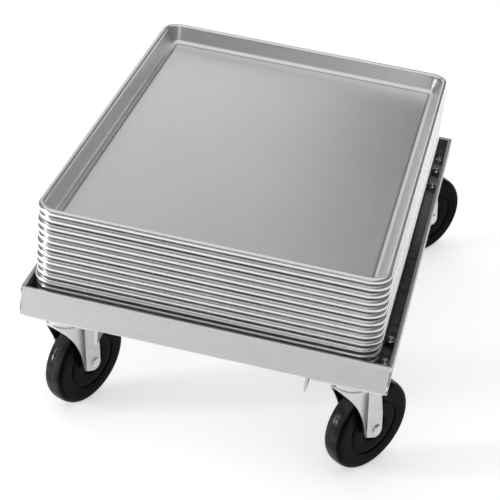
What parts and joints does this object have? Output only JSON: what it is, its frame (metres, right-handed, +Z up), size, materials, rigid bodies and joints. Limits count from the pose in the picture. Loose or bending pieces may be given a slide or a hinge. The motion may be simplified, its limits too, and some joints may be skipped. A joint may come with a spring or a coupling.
{
  "type": "sheet pan dolly",
  "caption": "Low angle-metal dolly on swivel casters, carrying a nested stack of shallow rimmed sheet pans inside its upturned edges.",
  "frame": {"origin": "on the floor below the middle of the angle frame", "axes": "+X to the right along the short side, +Y to the back along the long side, +Z up"},
  "size_m": [0.5158, 0.7513, 0.3177],
  "materials": {
    "frame_aluminium": "mill finish, faintly brushed",
    "pan_aluminium": "rolled, fine brushed satin",
    "zinc_steel": "bright zinc plate",
    "black_rubber": "moulded, semi-gloss"
  },
  "bodies": {
    "frame": {"front_rail": "frame_aluminium", "rear_rail": "frame_aluminium", "left_rail": "frame_aluminium", "right_rail": "frame_aluminium", "left_member": "frame_aluminium", "right_member": "frame_aluminium", "corner_welds": "frame_aluminium", "plate_bolts": "zinc_steel", "plate_nuts": "zinc_steel", "plate_screws": "zinc_steel", "screw_nuts": "zinc_steel", "shelf_bolts": "zinc_steel", "shelf_nuts": "zinc_steel", "fl_plate": "zinc_steel", "fl_kingpin": "zinc_steel", "fr_plate": "zinc_steel", "fr_kingpin": "zinc_steel", "bl_plate": "zinc_steel", "bl_kingpin": "zinc_steel", "br_plate": "zinc_steel", "br_kingpin": "zinc_steel"},
    "fl_swivel": {"fl_fork": "zinc_steel", "fl_balls": "zinc_steel", "fl_axle": "zinc_steel", "fl_axle_nut": "zinc_steel", "fl_sleeve": "zinc_steel"},
    "fl_roller": {"fl_wheel": "black_rubber"},
    "fr_swivel": {"fr_fork": "zinc_steel", "fr_balls": "zinc_steel", "fr_axle": "zinc_steel", "fr_axle_nut": "zinc_steel", "fr_sleeve": "zinc_steel"},
    "fr_roller": {"fr_wheel": "black_rubber"},
    "bl_swivel": {"bl_fork": "zinc_steel", "bl_balls": "zinc_steel", "bl_axle": "zinc_steel", "bl_axle_nut": "zinc_steel", "bl_sleeve": "zinc_steel"},
    "bl_roller": {"bl_wheel": "black_rubber"},
    "br_swivel": {"br_fork": "zinc_steel", "br_balls": "zinc_steel", "br_axle": "zinc_steel", "br_axle_nut": "zinc_steel", "br_sleeve": "zinc_steel"},
    "br_roller": {"br_wheel": "black_rubber"},
    "pan_01_body": {"pan_01": "pan_aluminium"},
    "pan_02_body": {"pan_02": "pan_aluminium"},
    "pan_03_body": {"pan_03": "pan_aluminium"},
    "pan_04_body": {"pan_04": "pan_aluminium"},
    "pan_05_body": {"pan_05": "pan_aluminium"},
    "pan_06_body": {"pan_06": "pan_aluminium"},
    "pan_07_body": {"pan_07": "pan_aluminium"},
    "pan_08_body": {"pan_08": "pan_aluminium"},
    "pan_09_body": {"pan_09": "pan_aluminium"},
    "pan_10_body": {"pan_10": "pan_aluminium"},
    "pan_11_body": {"pan_11": "pan_aluminium"},
    "pan_12_body": {"pan_12": "pan_aluminium"},
    "pan_13_body": {"pan_13": "pan_aluminium"}
  },
  "joints": [
    {"name": "fl_swivel_turn", "type": "hinge", "parent": "frame", "child": "fl_swivel", "pos_m": [-0.1914, -0.306, 0.152], "axis": [0, 0, 1], "continuous": true},
    {"name": "fl_wheel_spin", "type": "hinge", "parent": "fl_swivel", "child": "fl_roller", "pos_m": [-0.17228, -0.26306, 0.0665], "axis": [0.9135, -0.4067, 0], "continuous": true},
    {"name": "fr_swivel_turn", "type": "hinge", "parent": "frame", "child": "fr_swivel", "pos_m": [0.1914, -0.306, 0.152], "axis": [0, 0, 1], "continuous": true},
    {"name": "fr_wheel_spin", "type": "hinge", "parent": "fr_swivel", "child": "fr_roller", "pos_m": [0.21903, -0.26798, 0.0665], "axis": [0.809, -0.5878, 0], "continuous": true},
    {"name": "bl_swivel_turn", "type": "hinge", "parent": "frame", "child": "bl_swivel", "pos_m": [-0.1914, 0.306, 0.152], "axis": [0, 0, 1], "continuous": true},
    {"name": "bl_wheel_spin", "type": "hinge", "parent": "bl_swivel", "child": "bl_roller", "pos_m": [-0.16719, 0.34629, 0.0665], "axis": [0.8572, -0.515, 0], "continuous": true},
    {"name": "br_swivel_turn", "type": "hinge", "parent": "frame", "child": "br_swivel", "pos_m": [0.1914, 0.306, 0.152], "axis": [0, 0, 1], "continuous": true},
    {"name": "br_wheel_spin", "type": "hinge", "parent": "br_swivel", "child": "br_roller", "pos_m": [0.22161, 0.342, 0.0665], "axis": [0.766, -0.6428, 0], "continuous": true},
    {"name": "pan_01_lift", "type": "slide", "parent": "frame", "child": "pan_01_body", "axis": [0, 0, 1], "range_m": [0, 0.045]},
    {"name": "pan_02_lift", "type": "slide", "parent": "pan_01_body", "child": "pan_02_body", "axis": [0, 0, 1], "range_m": [0, 0.03]},
    {"name": "pan_03_lift", "type": "slide", "parent": "pan_02_body", "child": "pan_03_body", "axis": [0, 0, 1], "range_m": [0, 0.03]},
    {"name": "pan_04_lift", "type": "slide", "parent": "pan_03_body", "child": "pan_04_body", "axis": [0, 0, 1], "range_m": [0, 0.03]},
    {"name": "pan_05_lift", "type": "slide", "parent": "pan_04_body", "child": "pan_05_body", "axis": [0, 0, 1], "range_m": [0, 0.03]},
    {"name": "pan_06_lift", "type": "slide", "parent": "pan_05_body", "child": "pan_06_body", "axis": [0, 0, 1], "range_m": [0, 0.03]},
    {"name": "pan_07_lift", "type": "slide", "parent": "pan_06_body", "child": "pan_07_body", "axis": [0, 0, 1], "range_m": [0, 0.03]},
    {"name": "pan_08_lift", "type": "slide", "parent": "pan_07_body", "child": "pan_08_body", "axis": [0, 0, 1], "range_m": [0, 0.03]},
    {"name": "pan_09_lift", "type": "slide", "parent": "pan_08_body", "child": "pan_09_body", "axis": [0, 0, 1], "range_m": [0, 0.03]},
    {"name": "pan_10_lift", "type": "slide", "parent": "pan_09_body", "child": "pan_10_body", "axis": [0, 0, 1], "range_m": [0, 0.03]},
    {"name": "pan_11_lift", "type": "slide", "parent": "pan_10_body", "child": "pan_11_body", "axis": [0, 0, 1], "range_m": [0, 0.03]},
    {"name": "pan_12_lift", "type": "slide", "parent": "pan_11_body", "child": "pan_12_body", "axis": [0, 0, 1], "range_m": [0, 0.03]},
    {"name": "pan_13_lift", "type": "slide", "parent": "pan_12_body", "child": "pan_13_body", "axis": [0, 0, 1], "range_m": [0, 0.03]}
  ]
}
